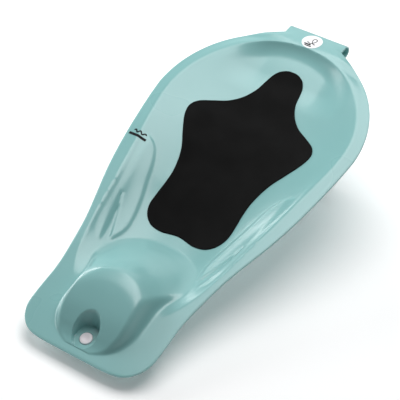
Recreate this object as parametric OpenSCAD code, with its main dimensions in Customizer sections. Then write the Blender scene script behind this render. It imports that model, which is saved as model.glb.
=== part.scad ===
// Reclined baby bath shell with a hump between the legs, an anti-slip mat, a drain plug,
// a rolled hanging hook and a screwed-on back stand.
// Two frames are used. The rim frame lies on the rim: x across, s from the foot edge to the
// head, z square to the rim. The floor frame is the part's own: +Y to the head, +Z up.

/* [Stance] */
// Recline of the rim over the floor, in degrees
recline = 15.5; // [13:0.5:18]
// Height of the foot edge above the floor
foot_lift = 26; // [24:1:34]

/* [Rim] */
// Radius of the round head end
head_r = 214.5; // [205:0.5:222]
// Distance from the foot edge to the centre of the head end
head_s = 573; // [560:1:585]
// Half width of the rim across the foot end
foot_half_w = 134; // [126:1:140]
// Wall thickness of the shell
wall_t = 3; // [2.5:0.1:4]
// Depth of the lip turned down round the rim
lip_depth = 4.5; // [4:0.5:9]

/* [Basin] */
// Depth of the seat below the rim
seat_depth = 46; // [38:1:50]
// Depth of the back rest below the rim
back_depth = 25; // [20:1:30]
// Height of the relief of the two hip pads
pad_relief = 3.5; // [2:0.5:6]

/* [Hump] */
// Height of the hump above the rim
hump_height = 41; // [32:1:44]
// Half width of the hump at its base
hump_half_w = 79; // [72:1:84]
// Radius of the floor of the niche over the plug
niche_r = 22; // [20:0.5:25]

/* [Hook] */
// Half width of the hook
hook_half_w = 63; // [50:0.5:66]
// Outer radius of the hook's curl
hook_r = 12; // [9:0.5:14]

/* [Mat] */
// Thickness of the mat above the shell
mat_t = 1.8; // [1.2:0.1:3]

/* [Plug] */
// Radius of the plug's head
plug_r = 11.5; // [9:0.5:13]
// Radius of the drain bore
bore_r = 9; // [7:0.5:10]

/* [Stand] */
// Distance of the stand's middle from the foot edge
stand_y = 634; // [600:1:660]
// Half width of the stand at the floor
stand_half_w = 98; // [85:1:110]

/* [Hidden] */
$fn = 48;

// Colours
aqua = [0.48, 0.74, 0.73];
black = [0.05, 0.05, 0.05];
plug_white = [0.86, 0.80, 0.82];
rubber_grey = [0.24, 0.26, 0.27];

// Foot edge: the corner's place, how far the middle bows out, and how square the bow is
corner_s = 31;
foot_bow = 28;
bow_fade = 120;
bow_power = 7;
// Tongue of the hook: where its crest is, how high, and how wide the fillets into the rim are
crest_s = 762;
crest_z = 7.5;
tongue_fillet = 62;
// Curl of the hook: where it starts, its heading there and the heading at the free edge
curl_s = 807;
curl_z = -3;
curl_from = 22;
curl_to = 235;
curl_steps = 11;
curl_centre = [curl_s - hook_r * sin(curl_from), curl_z - hook_r * cos(curl_from)];
// Basin: its rim radius round the head, its foot tip and the short wall behind the head
basin_r = 191;
basin_tip_s = 135;
head_wall_w = 30;
head_wall_x = [60, 140];
floor_back_depth = 8;
// Hump: its foot end and tail along the centre line, the middle of its round back slope, and
// the blends along its edges and into the basin
hump_front_s = 18;
hump_tail_s = 292;
hump_middle_s = 95;
hump_stretch = 1.1;
hump_edges = [9, 7];
hump_blend = 12;
// Middle of the part's box along the floor, where the origin is
floor_mid = (curl_centre[0] * cos(recline) - curl_centre[1] * sin(recline) + hook_r
    + (corner_s - foot_bow) * cos(recline)) / 2;
// Plug and niche centre, the niche's floor, its reach, and the collar round the bore
plug_s = 43;
niche_z = -6;
niche_back_r = niche_r + 5;
niche_side_slope = 6;
niche_back_slope = 3;
niche_reach = 48;
collar_r = 16;
collar_depth = 12;
seat_r = plug_r + 0.8;
seat_h = 2.4;
// Feet
front_foot = [80, 74];
foot_r = 13;
foot_h = 9;
post_r = 10;
// Stand: depth front to back, top plane below the rim, walls, and screws
stand_d = 60;
stand_top = -36;
stand_top_half_w = 72;
stand_wall = 3.5;
stand_leg_w = 30;
arch_z = 96;
screw_x = 30;
screw_pitch = 36;
screw_r = 2;
screw_head_r = 4.2;
boss_r = 6;

// Half width of the rim along the sides, [s, half width]
rim_sides = [[31, foot_half_w - 10], [50, foot_half_w - 2], [80, foot_half_w],
    [140, foot_half_w], [200, 142], [250, 151.5], [300, 165.5], [350, 180], [400, 191.5],
    [450, 200.5], [500, 207.5], [540, 212], [573, head_r]];
// Half width of the basin's edge up to the head circle
basin_sides = [[135, 95], [150, 104], [180, 118], [220, 130], [260, 139], [300, 146],
    [350, 154], [400, 163], [450, 172.5], [500, 182], [545, 189], [573, basin_r]];
// Depth of the basin on the centre line
basin_depths = [[135, 0], [160, 9], [200, 24], [250, seat_depth - 6], [300, seat_depth],
    [350, seat_depth - 1], [400, seat_depth - 7], [450, seat_depth - 12], [500, back_depth + 4],
    [550, back_depth], [650, 22], [740, floor_back_depth], [800, floor_back_depth]];
// How flat the basin's floor is across: 2 is a bowl, more is a flatter floor with steeper sides
basin_powers = [[135, 2.4], [250, 3.2], [355, 3.4], [410, 3], [480, 2.4], [552, 2], [800, 2]];
// Height of the basin's edge above the rim
edge_heights = [[135, 0], [350, 0], [455, 1.5], [550, 2.5], [700, 3], [crest_s, crest_z]];
// Front face of the hump along the centre line, and its back slope away from its middle
hump_top = [[18, -5], [28, 0], [38, 6.5], [52, 15], [80, 28], [110, hump_height - 5],
    [135, hump_height - 1], [158, hump_height], [292, hump_height + 4]];
hump_back = [[0, hump_height + 14], [63, hump_height], [80, hump_height - 9],
    [110, hump_height - 34], [143, -14], [170, -31], [185, -43], [197, -60]];
// Half width of the hump at the rim's height, and the slope of its flanks
hump_widths = [[18, 22], [26, 40], [36, 54], [50, 66], [66, 74], [90, hump_half_w],
    [160, hump_half_w], [200, hump_half_w + 4], [240, hump_half_w + 2], [292, 62]];
hump_flanks = [[18, 1.6], [70, 2.2], [140, 2.2], [200, 1.2], [292, 1]];
// Half width of the mat
mat_widths = [[306, 30], [308, 52], [314, 66], [326, 78], [345, 85.5], [370, 86], [400, 84.5],
    [430, 86], [470, 97], [505, 116], [530, 129], [548, 134.5], [562, 133.5], [576, 124],
    [590, 102], [604, 78], [625, 57], [649, 44], [674, 38.5], [691, 34], [704, 25], [711, 13], [713, 3]];
// Inner edge of a hip pad, from its head end to its foot end, and its outer edge
pad_inner = [[218, 103], [232, 95], [250, 88], [276, 84], [306, 88], [344, 97.5], [381, 109],
    [410, 117], [430, 125], [448, 137], [457, 150]];
pad_outer = [[218, 106], [232, 122], [262, 137], [300, 146], [350, 153], [400, 161], [457, 167]];
// Wedge groove that splits the foot end of a pad
wedge_inner = [[218, 86], [232, 93.5], [330, 131.5]];
wedge_outer = [[218, 107], [330, 132]];
pad_ends = [208, 462];
wedge_tip_s = 332;
// Widths of the soft edges of a pad and of its groove: inner side, outer side, ends, groove
pad_edges = [8, 18, 14, 6];

function clamp01(t) = min(1, max(0, t));
function ease(t) = let (c = clamp01(t)) c * c * (3 - 2 * c);
function mix(a, b, t) = a + (b - a) * t;
// Smooth maximum and minimum with a blend of k
function soft_max(a, b, k) = max(a, b) + pow(max(k - abs(a - b), 0), 2) / (4 * k);
function soft_min(a, b, k) = min(a, b) - pow(max(k - abs(a - b), 0), 2) / (4 * k);
// Smooth curve through [place, value] stations
function span(p, s, i = 0) = i >= len(p) - 2 || s < p[i + 1][0] ? i : span(p, s, i + 1);
function tangent(p, i) = let (a = max(i - 1, 0), b = min(i + 1, len(p) - 1))
    (p[b][1] - p[a][1]) / (p[b][0] - p[a][0]);
function curve(p, s) = let (i = span(p, s), h = p[i + 1][0] - p[i][0],
    t = clamp01((s - p[i][0]) / h), u = 1 - t)
    u * u * (1 + 2 * t) * p[i][1] + t * t * (3 - 2 * t) * p[i + 1][1]
    + h * t * u * (u * tangent(p, i) - t * tangent(p, i + 1));

// Rim outline: half width at a place s along the side
function head_circle(s, r) = sqrt(max(r * r - pow(s - head_s, 2), 0));
function rim_half_w(s) = s < head_s ? curve(rim_sides, s)
    : soft_max(head_circle(s, head_r), hook_half_w, tongue_fillet);
function bow(s) = foot_bow * (1 - ease((s - corner_s) / bow_fade));

// Hip pad: 1 inside its outline, falling softly to 0 at its edges
function pad_mask(x, s) = ease(min((x - curve(pad_inner, s)) / pad_edges[0],
    (curve(pad_outer, s) - x) / pad_edges[1], (s - pad_ends[0]) / pad_edges[2],
    (pad_ends[1] - s) / pad_edges[2]));
function wedge_mask(x, s) = let (d = min(x - curve(wedge_inner, s), curve(wedge_outer, s) - x,
    wedge_tip_s - s)) ease(0.5 + d / pad_edges[3]);
function pads(x, s) = s < pad_ends[0] || s > pad_ends[1] ? 0
    : pad_relief * (pad_mask(x, s) * (1 - wedge_mask(x, s)));

// Basin and flange, without the hump
function basin_half_w(s) = s < head_s ? curve(basin_sides, s) : head_circle(s, basin_r);
function at_head_wall(x, s) = ease((s - head_s - 60) / 60)
    * (1 - ease((x - head_wall_x[0]) / (head_wall_x[1] - head_wall_x[0])));
function bowl(d, power) = 1 - pow(1 - clamp01(d), power);
function basin_z(x, s) = let (
    r = s < head_s ? x : norm([x, s - head_s]),
    inner = s < head_s ? basin_half_w(s) : basin_r,
    edge = curve(edge_heights, s),
    power = curve(basin_powers, s),
    fall = mix(bowl((inner - r) / inner, power), bowl((inner - r) / head_wall_w, power), at_head_wall(x, s)))
    edge - (curve(basin_depths, s) + edge) * fall;
function flange_z(x, s) = let (
    inner = basin_half_w(s),
    outer = rim_half_w(s),
    t = clamp01((outer - x) / max(outer - inner, 1)))
    curve(edge_heights, s) * ease(t);
function tongue_z(s) = crest_z - (crest_z - curl_z) * pow(clamp01((s - crest_s) / (curl_s - crest_s)), 1.6);
function base_z(x, s) = s < basin_tip_s ? 0
    : x < basin_half_w(s) ? basin_z(x, s) + pads(x, s)
    : s < 740 ? flange_z(x, s)
    : mix(flange_z(x, s), tongue_z(s) * ease((rim_half_w(s) - x + 22) / 44), ease((s - 740) / 30));

// Hump, smoothly joined to the basin, with the niche cut into its front
function hump_z(x, s) = let (
    flank = curve(hump_flanks, s) * (curve(hump_widths, s) - x),
    from_middle = s > hump_middle_s ? norm([x * hump_stretch, s - hump_middle_s]) : 0)
    soft_min(soft_min(curve(hump_top, s), flank, hump_edges[0]),
        curve(hump_back, from_middle), hump_edges[1]);
function niche_wall(x, s) = let (
    from_plug = norm([x, s - plug_s]),
    lean = pow(max(s - plug_s, 0) / max(from_plug, 1), 2),
    slope = mix(niche_side_slope, niche_back_slope, lean))
    niche_z + max(from_plug - mix(niche_r, niche_back_r, lean), 0) * slope;
function shell_z(x, s) = let (
    base = base_z(x, s),
    full = s < hump_front_s || s > hump_tail_s || x > 110 ? base
        : soft_max(base, hump_z(x, s), hump_blend))
    norm([x, s - plug_s]) > niche_reach ? full : soft_min(full, niche_wall(x, s), 2);

// Wall thickness measured along z, so that steep places keep their strength
function steepness(x, s) = norm([shell_z(abs(x + 1), s) - shell_z(abs(x - 1), s),
    shell_z(abs(x), s + 1) - shell_z(abs(x), s - 1)]) / 2;
function wall_z(x, s) = wall_t * min(sqrt(1 + pow(steepness(x, s), 2)), 1.8);

// Grid over the rim outline: columns across, rows from the foot edge to the head
half_columns = [1, 0.95, 0.89, 0.82, 0.74, 0.66, 0.58, 0.5, 0.42, 0.34, 0.27, 0.215, 0.19, 0.13, 0.065];
column_lines = concat([-2, -1.5, -1.2], [for (u = half_columns) -u], [0],
    [for (i = [len(half_columns) - 1:-1:0]) half_columns[i]], [1.2, 1.5, 2]);
row_lines = concat([31, 34, 34.5], [for (s = [42:6.5:132]) s], [for (s = [140:12:462]) s],
    [for (s = [475:20:720]) s], [for (s = [728:8:795]) s], [curl_s]);
lip_inset = wall_t + 0.5;
last_row = len(row_lines) + curl_steps;

// Column codes beyond 1 are the two edges of the lip, the rest are shares of the half width
function column_x(u, w) = let (a = abs(u))
    sign(u) * (a > 1.9 ? w : a > 1.4 ? w - wall_t : a > 1.1 ? w - lip_inset : a * (w - lip_inset - 1));
function grid_x(u, i) = column_x(u, rim_half_w(row_lines[i]));
function grid_s(u, i) = let (s = row_lines[i], a = min(abs(grid_x(u, i)) / rim_half_w(s), 1))
    s - bow(s) * (1 - pow(a, bow_power));
function on_lip(j, i) = (i < 2 || min(j, len(column_lines) - 1 - j) < 2) && row_lines[i] < crest_s;
function top_point(j, i) = let (x = grid_x(column_lines[j], i), s = grid_s(column_lines[j], i))
    [x, s, shell_z(abs(x), s)];
function under_point(j, i) = let (p = top_point(j, i))
    [p[0], p[1], p[2] - (on_lip(j, i) ? lip_depth : wall_z(p[0], p[1]))];
function curl_point(j, k, r) = let (a = mix(curl_from, curl_to, k / curl_steps))
    [column_x(column_lines[j], hook_half_w), curl_centre[0] + r * sin(a), curl_centre[1] + r * cos(a)];
function skin_point(j, i, top) = i < len(row_lines)
    ? (top ? top_point(j, i) : under_point(j, i))
    : curl_point(j, i - len(row_lines) + 1, top ? hook_r : hook_r - wall_t);

// Places a shape that is drawn in the rim frame, and one that is drawn on the floor
module on_rim() {
    translate([0, -floor_mid, foot_lift]) rotate([recline, 0, 0]) children();
}

module on_floor() {
    translate([0, -floor_mid, 0]) children();
}

// Everything below a plane of the rim frame
module below_rim_plane(z) {
    on_rim() translate([-300, -200, z - 400]) cube([600, 1300, 400]);
}

// Closed sheet between two grids of the same size, nx points across and ny along
module sheet(top, under, nx, ny) {
    n = nx * ny;
    quads_top = [for (i = [0:ny - 2], j = [0:nx - 2])
        [i * nx + j, (i + 1) * nx + j, (i + 1) * nx + j + 1, i * nx + j + 1]];
    quads_under = [for (q = quads_top) [n + q[0], n + q[3], n + q[2], n + q[1]]];
    sides = [for (i = [0:ny - 2], e = [0, nx - 1]) let (a = i * nx + e, b = a + nx)
        e == 0 ? [a, n + a, n + b, b] : [b, n + b, n + a, a]];
    ends = [for (j = [0:nx - 2], e = [0, ny - 1]) let (a = e * nx + j, b = a + 1)
        e == 0 ? [b, n + b, n + a, a] : [a, n + a, n + b, b]];
    quads = concat(quads_top, quads_under, sides, ends);
    polyhedron(concat(top, under), [for (q = quads, t = [0, 1])
        t == 0 ? [q[0], q[1], q[2]] : [q[0], q[2], q[3]]]);
}

module shell_skin() {
    nx = len(column_lines);
    sheet([for (i = [0:last_row - 1], j = [0:nx - 1]) skin_point(j, i, true)],
        [for (i = [0:last_row - 1], j = [0:nx - 1]) skin_point(j, i, false)], nx, last_row);
}

// Posts under the foot end, cut to end inside the shell's wall
module front_posts() {
    intersection() {
        on_floor() for (side = [-1, 1])
            translate([side * front_foot[0], front_foot[1], foot_h - 3]) cylinder(r = post_r, h = 60);
        below_rim_plane(-1.5);
    }
}

// Places of the stand's screws, and the bosses that they go into
screw_s = stand_y / cos(recline) - 18;
screw_at = [for (x = [-screw_x, screw_x], s = [-screw_pitch / 2, screw_pitch / 2]) [x, screw_s + s]];

module screw_places() {
    for (p = screw_at) translate([p[0], p[1], 0]) children();
}

module screw_bosses() {
    for (p = screw_at)
        translate([p[0], p[1], stand_top])
            cylinder(r = boss_r, h = shell_z(screw_x, p[1]) - wall_t / 2 - stand_top);
}

module tub_shell() {
    color(aqua) difference() {
        union() {
            on_rim() shell_skin();
            on_rim() translate([0, plug_s, niche_z - collar_depth])
                cylinder(r = collar_r, h = collar_depth - 1);
            front_posts();
            on_rim() screw_bosses();
        }
        on_rim() translate([0, plug_s, niche_z - collar_depth - 1]) cylinder(r = bore_r, h = 30);
        on_rim() translate([0, plug_s, niche_z - seat_h]) cylinder(r = seat_r, h = 30);
        on_rim() screw_places() translate([0, 0, stand_top - 1]) cylinder(r = screw_r, h = 12);
    }
}

// Mat: a lobed sheet bonded to the seat and the back rest
mat_rows = [for (p = mat_widths) p[0]];
mat_columns = [for (u = [-10:10]) u / 10];
function mat_x(j, i) = mat_columns[j] * mat_widths[i][1];
function mat_s(j, i) = let (x = mat_x(j, i), s = mat_rows[i])
    s + 6 * (1 - ease(abs(x) / 40)) * (1 - ease((s - mat_rows[0]) / 60));
function mat_point(j, i, up) = let (x = mat_x(j, i), s = mat_s(j, i)) [x, s, shell_z(abs(x), s) + up];

module slip_mat() {
    nx = len(mat_columns);
    ny = len(mat_rows);
    color(black) on_rim() sheet([for (i = [0:ny - 1], j = [0:nx - 1]) mat_point(j, i, mat_t)],
        [for (i = [0:ny - 1], j = [0:nx - 1]) mat_point(j, i, -1)], nx, ny);
}

module drain_plug() {
    color(plug_white) on_rim() translate([0, plug_s, niche_z]) rotate_extrude()
        polygon([[0, -collar_depth - 1], [bore_r - 1.6, -collar_depth - 1], [bore_r - 1.6, -8.6],
            [bore_r - 2.2, -8.6], [bore_r - 2.2, -6.2], [bore_r - 0.4, -6.2],
            [bore_r - 0.4, -seat_h + 0.1], [plug_r, -seat_h + 0.1], [plug_r, 0.6],
            [plug_r - 1, 1.4], [0, 1.8]]);
}

module plug_seal() {
    color(rubber_grey) on_rim() translate([0, plug_s, niche_z - 8.5]) difference() {
        cylinder(r = bore_r - 0.1, h = 2.2);
        translate([0, 0, -1]) cylinder(r = bore_r - 2.2, h = 5);
    }
}

// Badge: a thin disc on the tongue, tilted as the tongue falls
badge_r = 20;
badge_s = 785;
badge_t = 1.6;
badge_tilt = atan2(tongue_z(badge_s + 15) - tongue_z(badge_s - 15), 30);

module round_badge() {
    color("white") on_rim() translate([0, badge_s, tongue_z(badge_s) - 1]) rotate([badge_tilt, 0, 0])
        cylinder(r = badge_r, h = badge_t);
}

// Level mark: a bar across the left flange with a shorter bar over it. Both follow the shell
mark_s = 444;
mark_x = [-193, -156];
mark_h = 5.2;
mark_top = 0.9;
mark_sunk = 0.6;

module printed_bar(x0, x1, s) {
    n = 8;
    places = [for (e = [s - mark_h / 2, s + mark_h / 2], k = [0:n]) [mix(x0, x1, k / n), e]];
    sheet([for (p = places) [p[0], p[1], shell_z(abs(p[0]), p[1]) + mark_top]],
        [for (p = places) [p[0], p[1], shell_z(abs(p[0]), p[1]) - mark_sunk]], n + 1, 2);
}

module level_mark() {
    color(black) on_rim() {
        printed_bar(mark_x[0], mark_x[1], mark_s);
        printed_bar(mark_x[0] + 6, mark_x[1] - 5, mark_s + 9);
    }
}

// Outline of the stand from the front, grown inward by a wall
module stand_outline(inset) {
    polygon([[-stand_half_w + inset, 0], [-stand_top_half_w + inset, 200], [stand_top_half_w - inset, 200],
        [stand_half_w - inset, 0]]);
}

module arch_outline(outset) {
    half = stand_half_w - stand_leg_w + outset;
    polygon([[-half, -1], [-half + 10, arch_z - 22 + outset], [-half + 30, arch_z + outset],
        [half - 30, arch_z + outset], [half - 10, arch_z - 22 + outset], [half, -1]]);
}

module stand_block(inset, front, depth) {
    on_floor() translate([0, front + depth, foot_h]) rotate([90, 0, 0])
        linear_extrude(depth) difference() {
            stand_outline(inset);
            arch_outline(inset);
        }
}

module back_stand() {
    front = stand_y - stand_d / 2;
    color(aqua) difference() {
        intersection() {
            stand_block(0, front, stand_d);
            below_rim_plane(stand_top - 0.2);
        }
        intersection() {
            translate([0, 0, -0.5]) stand_block(stand_wall, front + stand_wall, stand_d - 2 * stand_wall);
            below_rim_plane(stand_top - 0.2 - stand_wall);
        }
        // Screw holes, and wider ways up to them through the arch
        on_rim() screw_places() translate([0, 0, stand_top - 20]) cylinder(r = screw_r + 0.4, h = 30);
        on_rim() screw_places() translate([0, 0, stand_top - 120])
            cylinder(r = screw_head_r + 1.5, h = 119.8 - stand_wall);
    }
}

module stand_screws() {
    color("silver") on_rim() screw_places() translate([0, 0, stand_top - 0.2 - stand_wall]) {
        translate([0, 0, -0.2]) cylinder(r = screw_r, h = 12.7);
        translate([0, 0, -3]) cylinder(r = screw_head_r, h = 2.9);
    }
}

// Soft caps that stand on the floor
module front_feet() {
    color(rubber_grey) on_floor() for (side = [-1, 1])
        translate([side * front_foot[0], front_foot[1], 0]) difference() {
            cylinder(r1 = foot_r, r2 = foot_r - 1, h = foot_h + 3);
            translate([0, 0, foot_h - 3]) cylinder(r = post_r, h = 10);
        }
}

module stand_feet() {
    leg_x = stand_half_w - stand_leg_w / 2;
    color(rubber_grey) on_floor() for (side = [-1, 1]) translate([side * leg_x, stand_y, 0]) {
        translate([-stand_leg_w / 2 - 1, -stand_d / 2 - 1, 0]) cube([stand_leg_w + 2, stand_d + 2, foot_h]);
        translate([-stand_leg_w / 2 + 6, -stand_d / 2 + 6, foot_h]) cube([stand_leg_w - 14, stand_d - 12, 8]);
    }
}

tub_shell();
slip_mat();
drain_plug();
plug_seal();
round_badge();
level_mark();
back_stand();
stand_screws();
front_feet();
stand_feet();
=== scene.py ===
import math

import bmesh
import bpy
import numpy as np
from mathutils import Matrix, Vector


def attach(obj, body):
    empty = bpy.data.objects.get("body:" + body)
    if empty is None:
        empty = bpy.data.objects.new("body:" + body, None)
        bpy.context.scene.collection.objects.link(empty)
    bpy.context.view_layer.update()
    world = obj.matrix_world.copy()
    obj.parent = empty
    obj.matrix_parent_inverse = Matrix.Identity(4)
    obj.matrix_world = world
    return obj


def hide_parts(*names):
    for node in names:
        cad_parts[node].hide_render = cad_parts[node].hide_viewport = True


# Looks of a reclined baby bath shell. The shell, the mat, the plug, the badge and the prints
# are rebuilt here as fine meshes from the same outlines as the CAD part. Shapes are worked out
# in millimetres in the rim frame (x across, s from the foot edge to the head, z square to the
# rim) and placed in the frame's metres by to_world().

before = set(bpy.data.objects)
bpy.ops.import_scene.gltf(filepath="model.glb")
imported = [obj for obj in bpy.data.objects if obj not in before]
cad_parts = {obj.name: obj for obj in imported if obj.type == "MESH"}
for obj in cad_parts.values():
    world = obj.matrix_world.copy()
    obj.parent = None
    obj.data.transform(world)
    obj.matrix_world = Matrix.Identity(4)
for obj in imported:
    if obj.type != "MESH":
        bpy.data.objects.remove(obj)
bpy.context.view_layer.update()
MM = 0.001

# Stance and rim
recline = math.radians(15.5)
foot_lift = 26.0
head_r = 214.5
head_s = 573.0
foot_half_w = 134.0
wall_t = 3.0
steepest_wall = 1.8
lip_depth = 4.5
corner_s = 31.0
foot_bow = 28.0
bow_fade = 120.0
bow_power = 7

# Hook at the head end
hook_half_w = 63.0
hook_r = 12.0
crest_s = 762.0
crest_z = 7.5
tongue_fillet = 62.0
curl_s = 807.0
curl_z = -3.0
curl_from = math.radians(22)
curl_to = math.radians(235)
curl_steps = 24
tongue_power = 1.6
tongue_edge = 22.0
tongue_from_s = 740.0
tongue_blend = 30.0
curl_centre_s = curl_s - hook_r * math.sin(curl_from)
curl_centre_z = curl_z - hook_r * math.cos(curl_from)

# Basin, pads, hump and niche
seat_depth = 46.0
back_depth = 25.0
floor_back_depth = 8.0
basin_r = 191.0
basin_tip_s = 135.0
head_wall_w = 30.0
head_wall_x = (60.0, 140.0)
head_wall_from = 60.0
head_wall_blend = 60.0
pad_relief = 3.5
pad_edges = (8.0, 18.0, 14.0, 6.0)
pad_ends = (208.0, 462.0)
wedge_tip_s = 332.0
hump_height = 41.0
hump_half_w = 79.0
hump_middle_s = 95.0
hump_stretch = 1.1
hump_edges = (9.0, 7.0)
hump_front_s = 18.0
hump_tail_s = 292.0
hump_blend = 12.0
hump_reach_x = 110.0
niche_z = -6.0
niche_slopes = (6.0, 3.0)
niche_floor = (22.0, 27.0)
niche_reach = 48.0
niche_blend = 2.0
plug_s = 43.0
plug_r = 11.5
bore_r = 9.0
seat_r = plug_r + 0.8
seat_h = 2.4
collar_r = 16.0
collar_depth = 12.0
mat_t = 1.8
mat_sunk = 0.6
mat_ends = (306.0, 713.0)
mat_notch = (6.0, 40.0, 60.0)
plug_groove_z = (-8.6, -6.2)

# Badge and level mark
badge_s = 785.0
badge_r = 20.0
badge_lift = 0.45
badge_ink_lift = 0.9
mark_x = (-193.0, -156.0)
mark_s = 444.0
mark_lift = 0.45
ink_base = 0.02

# Front posts, and bosses for the stand's screws
front_foot = (80.0, 74.0)
post_foot_z = 6.0
post_r = 10.0
stand_top = -36.0
stand_y = 634.0
screw_x = 30.0
screw_pitch = 36.0
screw_r = 2.0
boss_r = 6.0
screw_hole_h = 12.0
screw_s = stand_y / math.cos(recline) - 18.0

floor_mid = (curl_centre_s * math.cos(recline) - curl_centre_z * math.sin(recline) + hook_r
             + (corner_s - foot_bow) * math.cos(recline)) / 2

# Outlines, as [place along s, value]
rim_sides = [[31, foot_half_w - 10], [50, foot_half_w - 2], [80, foot_half_w],
             [140, foot_half_w], [200, 142], [250, 151.5], [300, 165.5], [350, 180],
             [400, 191.5], [450, 200.5], [500, 207.5], [540, 212], [573, head_r]]
basin_sides = [[135, 95], [150, 104], [180, 118], [220, 130], [260, 139], [300, 146],
               [350, 154], [400, 163], [450, 172.5], [500, 182], [545, 189], [573, basin_r]]
basin_depths = [[135, 0], [160, 9], [200, 24], [250, seat_depth - 6], [300, seat_depth],
                [350, seat_depth - 1], [400, seat_depth - 7], [450, seat_depth - 12],
                [500, back_depth + 4], [550, back_depth], [650, 22],
                [740, floor_back_depth], [800, floor_back_depth]]
basin_powers = [[135, 2.4], [250, 3.2], [355, 3.4], [410, 3], [480, 2.4], [552, 2], [800, 2]]
edge_heights = [[135, 0], [350, 0], [455, 1.5], [550, 2.5], [700, 3], [crest_s, crest_z]]
hump_top = [[18, -5], [28, 0], [38, 6.5], [52, 15], [80, 28], [110, hump_height - 5],
            [135, hump_height - 1], [158, hump_height], [292, hump_height + 4]]
hump_back = [[0, hump_height + 14], [63, hump_height], [80, hump_height - 9], [110, hump_height - 34],
             [143, -14], [170, -31], [185, -43], [197, -60]]
hump_widths = [[18, 22], [26, 40], [36, 54], [50, 66], [66, 74], [90, hump_half_w], [160, hump_half_w],
               [200, hump_half_w + 4], [240, hump_half_w + 2], [292, 62]]
hump_flanks = [[18, 1.6], [70, 2.2], [140, 2.2], [200, 1.2], [292, 1.0]]
mat_widths = [[306, 30], [308, 52], [314, 66], [326, 78], [345, 85.5], [370, 86], [400, 84.5],
              [430, 86], [470, 97], [505, 116], [530, 129], [548, 134.5], [562, 133.5],
              [576, 124], [590, 102], [604, 78], [625, 57], [649, 44], [674, 38.5], [691, 34],
              [704, 25], [711, 13], [713, 3]]
pad_inner = [[218, 103], [232, 95], [250, 88], [276, 84], [306, 88], [344, 97.5], [381, 109],
             [410, 117], [430, 125], [448, 137], [457, 150]]
pad_outer = [[218, 106], [232, 122], [262, 137], [300, 146], [350, 153], [400, 161], [457, 167]]
wedge_inner = [[218, 86], [232, 93.5], [330, 131.5]]
wedge_outer = [[218, 107], [330, 132]]


def ease(t):
    c = np.clip(t, 0, 1)
    return c * c * (3 - 2 * c)


def mix(a, b, t):
    return a + (b - a) * t


def soft_max(a, b, k):
    return np.maximum(a, b) + np.maximum(k - np.abs(a - b), 0) ** 2 / (4 * k)


def soft_min(a, b, k):
    return np.minimum(a, b) - np.maximum(k - np.abs(a - b), 0) ** 2 / (4 * k)


def curve(stations, s):
    """Smooth curve through [place, value] stations."""
    p = np.asarray(stations, float)
    last = len(p) - 1
    before, after = np.maximum(np.arange(len(p)) - 1, 0), np.minimum(np.arange(len(p)) + 1, last)
    slope = (p[after, 1] - p[before, 1]) / (p[after, 0] - p[before, 0])
    i = np.clip(np.searchsorted(p[:, 0], s, side="right") - 1, 0, last - 1)
    h = p[i + 1, 0] - p[i, 0]
    t = np.clip((s - p[i, 0]) / h, 0, 1)
    u = 1 - t
    ends = u * u * (1 + 2 * t) * p[i, 1] + t * t * (3 - 2 * t) * p[i + 1, 1]
    return ends + h * t * u * (u * slope[i] - t * slope[i + 1])


def head_circle(s, r):
    return np.sqrt(np.maximum(r * r - (s - head_s) ** 2, 0))


def rim_half_w(s):
    round_end = soft_max(head_circle(s, head_r), hook_half_w, tongue_fillet)
    return np.where(s < head_s, curve(rim_sides, s), round_end)


def bow(s):
    return foot_bow * (1 - ease((s - corner_s) / bow_fade))


def pads(x, s):
    """Relief of the hip pads, with the wedge groove at their foot end."""
    inner, outer, ends, wedge_edge = pad_edges
    inside = np.minimum.reduce([(x - curve(pad_inner, s)) / inner, (curve(pad_outer, s) - x) / outer,
                                (s - pad_ends[0]) / ends, (pad_ends[1] - s) / ends])
    groove = np.minimum.reduce([x - curve(wedge_inner, s), curve(wedge_outer, s) - x, wedge_tip_s - s])
    relief = pad_relief * ease(inside) * (1 - ease(0.5 + groove / wedge_edge))
    return np.where((s < pad_ends[0]) | (s > pad_ends[1]), 0, relief)


def basin_half_w(s):
    return np.where(s < head_s, curve(basin_sides, s), head_circle(s, basin_r))


def basin_z(x, s):
    """Basin floor: a bowl whose head end has a short wall behind the tongue."""
    r = np.where(s < head_s, x, np.hypot(x, s - head_s))
    inner = np.where(s < head_s, basin_half_w(s), basin_r)
    edge = curve(edge_heights, s)
    power = curve(basin_powers, s)
    bowl = 1 - (1 - np.clip((inner - r) / inner, 0, 1)) ** power
    wall = 1 - (1 - np.clip((inner - r) / head_wall_w, 0, 1)) ** power
    across = (x - head_wall_x[0]) / (head_wall_x[1] - head_wall_x[0])
    at_wall = ease((s - head_s - head_wall_from) / head_wall_blend) * (1 - ease(across))
    return edge - (curve(basin_depths, s) + edge) * mix(bowl, wall, at_wall)


def flange_z(x, s):
    inner, outer = basin_half_w(s), rim_half_w(s)
    return curve(edge_heights, s) * ease((outer - x) / np.maximum(outer - inner, 1))


def tongue_z(s):
    share = np.clip((s - crest_s) / (curl_s - crest_s), 0, 1)
    return crest_z - (crest_z - curl_z) * share ** tongue_power


def base_z(x, s):
    flange = flange_z(x, s)
    edge = ease((rim_half_w(s) - x + tongue_edge) / (2 * tongue_edge))
    tongue = mix(flange, tongue_z(s) * edge, ease((s - tongue_from_s) / tongue_blend))
    outside = np.where(s < tongue_from_s, flange, tongue)
    inside = np.where(x < basin_half_w(s), basin_z(x, s) + pads(x, s), outside)
    return np.where(s < basin_tip_s, 0, inside)


def hump_z(x, s):
    """Hump: an egg-shaped front face, steep flanks and a round back slope to the seat."""
    flank = curve(hump_flanks, s) * (curve(hump_widths, s) - x)
    from_middle = np.where(s > hump_middle_s, np.hypot(x * hump_stretch, s - hump_middle_s), 0)
    front = soft_min(curve(hump_top, s), flank, hump_edges[0])
    return soft_min(front, curve(hump_back, from_middle), hump_edges[1])


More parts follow.
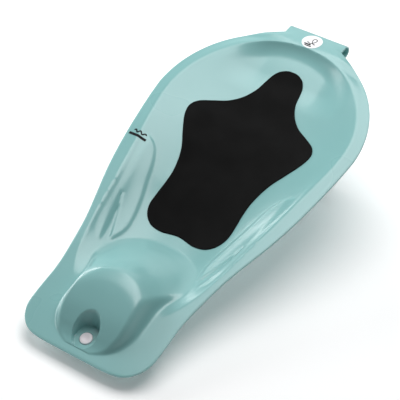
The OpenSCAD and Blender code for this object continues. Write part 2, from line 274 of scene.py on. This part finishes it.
def niche(x, s):
    """Floor and wall of the niche over the plug. Its back leans, its sides are steep."""
    from_plug = np.hypot(x, s - plug_s)
    lean = (np.maximum(s - plug_s, 0) / np.maximum(from_plug, 1)) ** 2
    return niche_z + np.maximum(from_plug - mix(*niche_floor, lean), 0) * mix(*niche_slopes, lean)


def shell_z(x, s):
    """Height of the shell's upper face over the rim frame."""
    x = np.abs(x)
    base = base_z(x, s)
    on_hump = (s > hump_front_s) & (s < hump_tail_s) & (x < hump_reach_x)
    full = np.where(on_hump, soft_max(base, hump_z(x, s), hump_blend), base)
    from_plug = np.hypot(x, s - plug_s)
    return np.where(from_plug > niche_reach, full, soft_min(full, niche(x, s), niche_blend))


def wall_z(x, s):
    """Wall thickness measured along z, thicker where the shell is steep."""
    dx = (shell_z(x + 1, s) - shell_z(x - 1, s)) / 2
    ds = (shell_z(x, s + 1) - shell_z(x, s - 1)) / 2
    return wall_t * np.minimum(np.sqrt(1 + dx * dx + ds * ds), steepest_wall)


def to_world(points):
    """Rim frame in millimetres to the frame's metres."""
    x, s, z = np.moveaxis(np.asarray(points, float), -1, 0)
    c, n = math.cos(recline), math.sin(recline)
    return np.stack([x, s * c - z * n - floor_mid, s * n + z * c + foot_lift], -1) * MM


# Mesh building
def new_object(name, vertices, faces, material, sharp=math.radians(40)):
    mesh = bpy.data.meshes.new(name)
    mesh.from_pydata(to_world(vertices).tolist(), [], [list(map(int, f)) for f in faces])
    mesh.update()
    mesh.shade_smooth()
    mesh.set_sharp_from_angle(angle=sharp)
    mesh.materials.append(material)
    piece = bpy.data.objects.new(name, mesh)
    bpy.context.scene.collection.objects.link(piece)
    return piece


def sheet(top, under):
    """Vertices and faces of a closed sheet between two grids of points, rows by columns."""
    rows, cols = top.shape[:2]
    ids = np.arange(rows * cols).reshape(rows, cols)
    upper = np.stack([ids[:-1, :-1], ids[:-1, 1:], ids[1:, 1:], ids[1:, :-1]], -1).reshape(-1, 4)
    lower = rows * cols + upper[:, ::-1]
    rim = np.concatenate([ids[0], ids[1:, -1], ids[-1, -2::-1], ids[-2:0:-1, 0]])
    after = np.roll(rim, -1)
    walls = np.stack([rim, rim + rows * cols, after + rows * cols, after], -1)
    vertices = np.concatenate([top.reshape(-1, 3), under.reshape(-1, 3)])
    return vertices, np.concatenate([upper, lower, walls])


def lathe(profile, centre_s, base, steps=96, centre_x=0.0):
    """Vertices and faces of a closed turned shape. The profile runs from axis to axis, as (r, z)."""
    ring = [(r, z) for r, z in profile if r > 0]
    angles = np.arange(steps) * 2 * math.pi / steps
    vertices = [(centre_x + r * math.cos(a), centre_s + r * math.sin(a), base + z)
                for r, z in ring for a in angles]
    faces = []
    for k in range(len(ring) - 1):
        for i in range(steps):
            j = (i + 1) % steps
            faces.append((k * steps + i, k * steps + j, (k + 1) * steps + j, (k + 1) * steps + i))
    for k, z, flip in ((0, profile[0][1], True), (len(ring) - 1, profile[-1][1], False)):
        centre = len(vertices)
        vertices.append((centre_x, centre_s, base + z))
        for i in range(steps):
            a, b = k * steps + i, k * steps + (i + 1) % steps
            faces.append((b, a, centre) if flip else (a, b, centre))
    return vertices, faces


# Materials
def clear_material(name):
    material = bpy.data.materials.new(name)
    material.use_nodes = True
    nodes = material.node_tree.nodes
    return material, nodes, material.node_tree.links, nodes["Principled BSDF"]


def noise(nodes, links, scale, detail=3.0):
    """Noise over the object's own coordinates."""
    place = nodes.new("ShaderNodeTexCoord")
    texture = nodes.new("ShaderNodeTexNoise")
    texture.inputs["Scale"].default_value = scale
    texture.inputs["Detail"].default_value = detail
    links.new(place.outputs["Object"], texture.inputs["Vector"])
    return texture.outputs["Fac"]


def ramp(nodes, links, value, low, high, start=0.3, end=0.7):
    """Colour ramp from low to high between two noise values."""
    shade = nodes.new("ShaderNodeValToRGB")
    shade.color_ramp.elements[0].position = start
    shade.color_ramp.elements[1].position = end
    shade.color_ramp.elements[0].color = (*low, 1)
    shade.color_ramp.elements[1].color = (*high, 1)
    links.new(value, shade.inputs["Fac"])
    return shade.outputs["Color"]


def bump(nodes, links, height, strength, distance, under=None):
    node = nodes.new("ShaderNodeBump")
    node.inputs["Strength"].default_value = strength
    node.inputs["Distance"].default_value = distance
    links.new(height, node.inputs["Height"])
    if under is not None:
        links.new(under, node.inputs["Normal"])
    return node.outputs["Normal"]


def surface(name, low, high, rough, grain, depth, mottle=9.0, wear=22.0, coat=0.0, specular=0.5):
    """Moulded surface: mottled colour, roughness between two values with wear, and a fine grain."""
    material, nodes, links, shader = clear_material(name)
    links.new(ramp(nodes, links, noise(nodes, links, mottle), low, high), shader.inputs["Base Color"])
    worn = ramp(nodes, links, noise(nodes, links, wear, 2), (rough[0],) * 3, (rough[1],) * 3)
    links.new(worn, shader.inputs["Roughness"])
    fine = bump(nodes, links, noise(nodes, links, grain, 2), 1.0, depth)
    links.new(fine, shader.inputs["Normal"])
    shader.inputs["Coat Weight"].default_value = coat
    shader.inputs["Coat Roughness"].default_value = 0.16
    shader.inputs["Specular IOR Level"].default_value = specular
    return material


aqua = surface("aqua_gloss", (0.22, 0.452, 0.447), (0.234, 0.472, 0.467), (0.27, 0.33), 900,
               0.000004, wear=5.0, coat=0.3)
mat_rubber = surface("mat_rubber", (0.0025, 0.0025, 0.0025), (0.004, 0.004, 0.004), (0.6, 0.72), 1600,
                     0.00012, specular=0.07)
plug_plastic = surface("plug_plastic", (0.86, 0.78, 0.81), (0.9, 0.83, 0.86), (0.3, 0.42), 1200, 0.00002)
soft_rubber = surface("soft_rubber", (0.035, 0.038, 0.04), (0.055, 0.06, 0.062), (0.55, 0.75), 1500,
                      0.00006)
badge_paper = surface("badge_paper", (0.84, 0.84, 0.86), (0.9, 0.9, 0.91), (0.3, 0.42), 700, 0.00001)
print_ink = surface("print_ink", (0.004, 0.004, 0.005), (0.009, 0.009, 0.01), (0.5, 0.6), 1500,
                    0.00001, specular=0.15)
screw_steel = surface("screw_steel", (0.5, 0.5, 0.51), (0.6, 0.6, 0.6), (0.25, 0.4), 1100, 0.00002)
screw_steel.node_tree.nodes["Principled BSDF"].inputs["Metallic"].default_value = 1.0


# Shell
def shell_grid():
    """Upper and under points of the shell. Codes 1 to 3 mark the rounded edge, 0 the rest."""
    fine = np.linspace(0, 0.25, 28)
    shares = np.concatenate([fine, np.linspace(0.25, 1, 44)[1:]])
    edge_offsets = np.array([1.6, 0.5, 0.0])
    edge_drops = np.array([0.0, 0.45, 1.6])
    under_offsets = np.array([3.0, 0.9, 0.0])
    bevel = 0.9
    lip_spare = 0.4
    lip_fade_s = (22, 18)
    curl_under = 0.4
    curl_drop = 0.6
    inset = wall_t + bevel
    stretches = ((35, 98, 1.2), (98, 462, 2.2), (462, 720, 3.0), (720, curl_s, 2.0))
    rows = np.concatenate([[corner_s] * 3] + [np.arange(*part) for part in stretches] + [[curl_s]])
    row_code = np.zeros(len(rows), int)
    row_code[:3] = (3, 2, 1)
    col_code = np.concatenate([np.zeros(len(shares), int), [1, 2, 3]])
    shares = np.concatenate([shares, [1, 1, 1]])
    sign = np.concatenate([-np.ones(len(shares)), np.ones(len(shares) - 1)])
    shares = np.concatenate([shares[::-1], shares[1:]])
    col_code = np.concatenate([col_code[::-1], col_code[1:]])

    def offset(code, table):
        return np.where(code > 0, table[np.maximum(code, 1) - 1], 0)

    def points(top, lines, codes):
        table = edge_offsets if top else under_offsets
        w = rim_half_w(lines)[:, None]
        coded = np.broadcast_to(col_code > 0, (len(lines), len(col_code)))
        x = np.where(coded, w - offset(col_code, table), shares * (w - inset)) * sign
        s = lines[:, None] + offset(codes, table)[:, None]
        s = s - bow(lines)[:, None] * (1 - np.minimum(np.abs(x) / w, 1) ** bow_power)
        z = shell_z(x, s)
        code = np.maximum(codes[:, None], col_code)
        if top:
            return np.stack([x, s, z - offset(code, edge_drops)], -1)
        fade = ease((s - crest_s + lip_fade_s[0]) / lip_fade_s[1])
        lip = mix(lip_depth, wall_t + lip_spare, fade) - bevel * (code == 3)
        return np.stack([x, s, z - np.where(code > 0, lip, wall_z(x, s))], -1)

    def curl(top):
        turn = np.linspace(curl_from, curl_to, curl_steps + 1)[1:, None]
        table = edge_offsets if top else under_offsets * curl_under
        at_edge = hook_half_w - offset(col_code, table)
        x = np.where(col_code > 0, at_edge, shares * (hook_half_w - inset)) * sign
        if top:
            r = hook_r - offset(col_code, edge_drops) * curl_drop
        else:
            r = hook_r - wall_t + bevel * (col_code == 3)
        x, r = np.broadcast_arrays(x, r)
        s = curl_centre_s + r * np.sin(turn)
        return np.stack([x + 0 * turn, s, curl_centre_z + r * np.cos(turn)], -1)

    top = np.concatenate([points(True, rows, row_code), curl(True)])
    under = np.concatenate([points(False, rows, row_code), curl(False)])
    return top, under


def cut(target, tool, operation):
    """Joins a tool to the target, or cuts it out, and drops the tool."""
    step = target.modifiers.new(operation, "BOOLEAN")
    step.object = tool
    step.operation = operation
    step.solver = "EXACT"
    bpy.context.view_layer.update()
    graph = bpy.context.evaluated_depsgraph_get()
    made = bpy.data.meshes.new_from_object(target.evaluated_get(graph))
    target.modifiers.clear()
    old = target.data
    target.data = made
    bpy.data.meshes.remove(old)
    bpy.data.objects.remove(tool)


def post(side):
    """A post that stands upright on the floor, cut off level with the middle of the flange."""
    c, n = math.cos(recline), math.sin(recline)
    steps = 48
    rings = ([], [])
    for k in range(steps):
        turn = 2 * math.pi * k / steps
        x = side * front_foot[0] + post_r * math.cos(turn)
        y = front_foot[1] + post_r * math.sin(turn)
        top = foot_lift + (y * n - wall_t / 2) / c
        for ring, z in zip(rings, (post_foot_z, top)):
            ring.append((x, y * c + (z - foot_lift) * n, (z - foot_lift) * c - y * n))
    walls = [(k, (k + 1) % steps, steps + (k + 1) % steps, steps + k) for k in range(steps)]
    ends = [tuple(reversed(range(steps))), tuple(range(steps, 2 * steps))]
    return rings[0] + rings[1], walls + ends


def shell():
    piece = new_object("tub_skin", *sheet(*shell_grid()), aqua)
    collar = [(0, -collar_depth), (collar_r - 1, -collar_depth), (collar_r, -collar_depth + 1),
              (collar_r, -1), (0, -1)]
    cut(piece, new_object("collar", *lathe(collar, plug_s, niche_z), aqua), "UNION")
    for side in (-1, 1):
        cut(piece, new_object("post", *post(side), aqua), "UNION")
    half = screw_pitch / 2
    for x, s in [(x, screw_s + d) for x in (-screw_x, screw_x) for d in (-half, half)]:
        height = float(shell_z(screw_x, s)) - wall_t / 2 - stand_top
        boss = [(0, 0), (boss_r, 0), (boss_r, height), (0, height)]
        cut(piece, new_object("boss", *lathe(boss, s, stand_top, 48, x), aqua), "UNION")
        hole = [(0, 0), (screw_r, 0), (screw_r, screw_hole_h), (0, screw_hole_h)]
        cut(piece, new_object("screw_hole", *lathe(hole, s, stand_top - 1, 32, x), aqua), "DIFFERENCE")
    bore = [(0, -collar_depth - 1), (bore_r, -collar_depth - 1), (bore_r, -seat_h),
            (seat_r, -seat_h), (seat_r, -0.5), (seat_r + 0.5, 0.0), (seat_r + 1.5, 1.0), (0, 1.0)]
    cut(piece, new_object("bore", *lathe(bore, plug_s, niche_z), aqua), "DIFFERENCE")
    piece.data.shade_smooth()
    piece.data.set_sharp_from_angle(angle=math.radians(40))
    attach(piece, "tub")
    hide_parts("tub_shell")


# Mat
def mat():
    across = np.linspace(0, 1, 41)
    edge = np.array([0.0, 0.35, 1.0, 2.0])
    drop = np.array([1.1, 0.4, 0.06, 0.0])
    first, last = mat_ends
    rows = np.concatenate([[first, first + 0.4, first + 1.0], np.arange(first + 2, last - 2, 2.0),
                           [last - 1.2, last - 0.4, last]])
    w = curve(mat_widths, rows)[:, None]
    field = np.broadcast_to(across, (len(rows), len(across))) * (w - 3)
    half = np.concatenate([field, w - edge[::-1]], 1)
    dip = np.concatenate([np.zeros(len(across)), drop[::-1]])
    x = np.concatenate([-half[:, ::-1], half[:, 1:]], 1)
    dip = np.concatenate([dip[::-1], dip[1:]])
    at_end = np.zeros(len(rows))
    at_end[[0, -1]] = drop[0]
    at_end[[1, -2]] = drop[1]
    deep, wide, long = mat_notch
    s = rows[:, None] + deep * (1 - ease(np.abs(x) / wide)) * (1 - ease((rows[:, None] - first) / long))
    z = shell_z(x, s)
    top = np.stack([x, s, z + mat_t - np.maximum(dip, at_end[:, None])], -1)
    under = np.stack([x, s, z - mat_sunk], -1)
    piece = new_object("mat_sheet", *sheet(top, under), mat_rubber)
    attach(piece, "tub")
    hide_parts("slip_mat")


# Plug
def plug():
    dome = [(plug_r - 1.4, 1.35), (plug_r * 0.6, 1.65), (plug_r * 0.45, 1.45), (plug_r * 0.3, 1.1),
            (0, 1.0)]
    foot, groove_foot, groove_top = -collar_depth - 1, *plug_groove_z
    stem_r, groove_r, neck_r = bore_r - 1.6, bore_r - 2.2, bore_r - 0.4
    profile = [(0, foot), (groove_r, foot), (stem_r, foot + 0.6), (stem_r, groove_foot),
               (groove_r, groove_foot), (groove_r, groove_top), (neck_r, groove_top),
               (neck_r, -seat_h + 0.1), (plug_r, -seat_h + 0.1), (plug_r, 0.5), (plug_r - 0.4, 1.05)]
    piece = new_object("plug_body", *lathe(profile + dome, plug_s, niche_z), plug_plastic)
    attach(piece, "plug")
    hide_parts("drain_plug")


# Badge and prints
def over_shell(points, lift):
    """Points on the shell's upper face, lifted by a little."""
    p = np.asarray(points, float)
    return np.stack([p[:, 0], p[:, 1], shell_z(p[:, 0], p[:, 1]) + lift], -1)


def disc(centre_s, radius, lift, name, material):
    """Thin disc that follows the shell."""
    rings, steps = 12, 96
    flat = [(0.0, centre_s)]
    for k in range(1, rings + 1):
        for i in range(steps):
            a = 2 * math.pi * i / steps
            r = radius * k / rings
            flat.append((r * math.sin(a), centre_s - r * math.cos(a)))
    top = over_shell(flat, lift)
    under = over_shell(flat, -0.2)
    faces = [(0, 1 + i, 1 + (i + 1) % steps) for i in range(steps)]
    for k in range(rings - 1):
        for i in range(steps):
            a, b = 1 + k * steps + i, 1 + k * steps + (i + 1) % steps
            faces.append((a, a + steps, b + steps, b))
    n = len(flat)
    outer = [1 + (rings - 1) * steps + i for i in range(steps)]
    both = faces + [tuple(n + v for v in reversed(f)) for f in faces]
    for a, b in zip(outer, outer[1:] + outer[:1]):
        both.append((a, a + n, b + n, b))
    return new_object(name, np.concatenate([top, under]), both, material)


def ribbon(path, width, lift):
    """Vertices and faces of a printed line of one width along a path of (x, s) points."""
    p = np.asarray(path, float)
    along = np.gradient(p, axis=0)
    along /= np.linalg.norm(along, axis=1)[:, None]
    side = np.stack([-along[:, 1], along[:, 0]], 1) * width / 2
    cross = np.stack([p - side, p, p + side], 1)
    top = over_shell(cross.reshape(-1, 2), lift).reshape(len(p), 3, 3)
    under = over_shell(cross.reshape(-1, 2), ink_base).reshape(len(p), 3, 3)
    return sheet(top[:, ::-1], under[:, ::-1])


def print_lines(name, lines, lift, replaced=None):
    vertices, faces = np.zeros((0, 3)), []
    for path, width in lines:
        v, f = ribbon(path, width, lift)
        faces.extend((f + len(vertices)).tolist())
        vertices = np.concatenate([vertices, v])
    piece = new_object(name, vertices, faces, print_ink)
    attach(piece, "tub")
    if replaced:
        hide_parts(replaced)


def straight(x0, s0, x1, s1, steps=12):
    t = np.linspace(0, 1, steps)
    return np.stack([mix(x0, x1, t), mix(s0, s1, t)], 1)


def wave(x0, x1, s, height, crests, steps=60):
    t = np.linspace(0, 1, steps)
    return np.stack([mix(x0, x1, t), s + height * np.sin(t * crests * 2 * math.pi)], 1)


def badge():
    """Round sticker with a generic print: a drop, a wave and two bars."""
    piece = disc(badge_s, badge_r, badge_lift, "badge_disc", badge_paper)
    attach(piece, "tub")
    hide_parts("round_badge")
    turn = np.linspace(0, 2 * math.pi, 60)
    across = 3.5 + 5 * np.sin(turn) * (0.75 - 0.25 * np.cos(turn))
    drop = np.stack([across, badge_s + 3 - 6.5 * np.cos(turn)], 1)
    upper_bar, lower_bar = badge_s - 10.5, badge_s - 14.5
    lines = [(drop, 1.3), (wave(-8, 10, badge_s - 6, 1.2, 2), 1.4),
             (straight(-11, upper_bar, 3, upper_bar), 3.0), (straight(-8, lower_bar, 6, lower_bar), 2.0)]
    print_lines("badge_print", lines, badge_ink_lift)


def level_mark():
    """Level mark: a bar with a wave over it."""
    low, high = mark_x
    lines = [(straight(low, mark_s, high, mark_s, 30), 5.2),
             (wave(low + 6, high - 5, mark_s + 9, 2.4, 2.5), 2.6)]
    print_lines("level_print", lines, mark_lift, replaced="level_mark")


shell()
mat()
plug()
badge()
level_mark()

# CAD nodes that stay, with better materials
for node, material in (("plug_seal", soft_rubber), ("back_stand", aqua), ("stand_screws", screw_steel),
                       ("front_feet", soft_rubber), ("stand_feet", soft_rubber)):
    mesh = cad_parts[node].data
    mesh.materials.clear()
    mesh.materials.append(material)


# Floor, light and camera
def studio_floor():
    material, nodes, links, shader = clear_material("studio_floor")
    links.new(ramp(nodes, links, noise(nodes, links, 2), (0.93, 0.93, 0.93), (0.95, 0.95, 0.95)),
              shader.inputs["Base Color"])
    shader.inputs["Roughness"].default_value = 0.9
    shader.inputs["Specular IOR Level"].default_value = 0.1
    shader.inputs["Emission Color"].default_value = (1, 1, 1, 1)
    shader.inputs["Emission Strength"].default_value = 0.14
    mesh = bpy.data.meshes.new("floor")
    form = bmesh.new()
    bmesh.ops.create_grid(form, x_segments=8, y_segments=8, size=14)
    form.to_mesh(mesh)
    form.free()
    mesh.materials.append(material)
    floor = bpy.data.objects.new("floor", mesh)
    bpy.context.scene.collection.objects.link(floor)
    floor.location.z = -0.0005


def softbox(name, place, size, watts, colour=(1, 1, 1)):
    light = bpy.data.lights.new(name, "AREA")
    light.shape = "RECTANGLE"
    light.size, light.size_y = size
    light.energy = watts
    light.color = colour
    lamp = bpy.data.objects.new(name, light)
    lamp.location = place
    lamp.rotation_euler = (Vector((0, 0, 0.1)) - Vector(place)).to_track_quat("-Z", "Y").to_euler()
    bpy.context.scene.collection.objects.link(lamp)


studio_floor()
softbox("top", (0.0, 0.7, 2.2), (2.2, 1.8), 52)
softbox("head", (-1.2, 2.1, 1.3), (1.8, 1.2), 6)
softbox("low_side", (-2.5, 0.8, 0.55), (1.8, 0.8), 24)
softbox("high_side", (-2.2, -0.2, 1.2), (1.8, 0.8), 21)

world = bpy.data.worlds.new("studio")
world.use_nodes = True
world.node_tree.nodes["Background"].inputs["Color"].default_value = (0.92, 0.96, 1, 1)
world.node_tree.nodes["Background"].inputs["Strength"].default_value = 0.12
bpy.context.scene.world = world
bpy.context.scene.view_settings.view_transform = "Standard"

camera = bpy.data.cameras.new("camera")
camera.sensor_width = 36
camera.lens = 135
eye = bpy.data.objects.new("camera", camera)
eye.location = (1.1823, -1.3156 - floor_mid * MM, 1.8568)
aim = Vector((0.0144, 0.3606 - floor_mid * MM, 0.126))
eye.rotation_euler = (aim - eye.location).to_track_quat("-Z", "Y").to_euler()
bpy.context.scene.collection.objects.link(eye)
bpy.context.scene.camera = eye
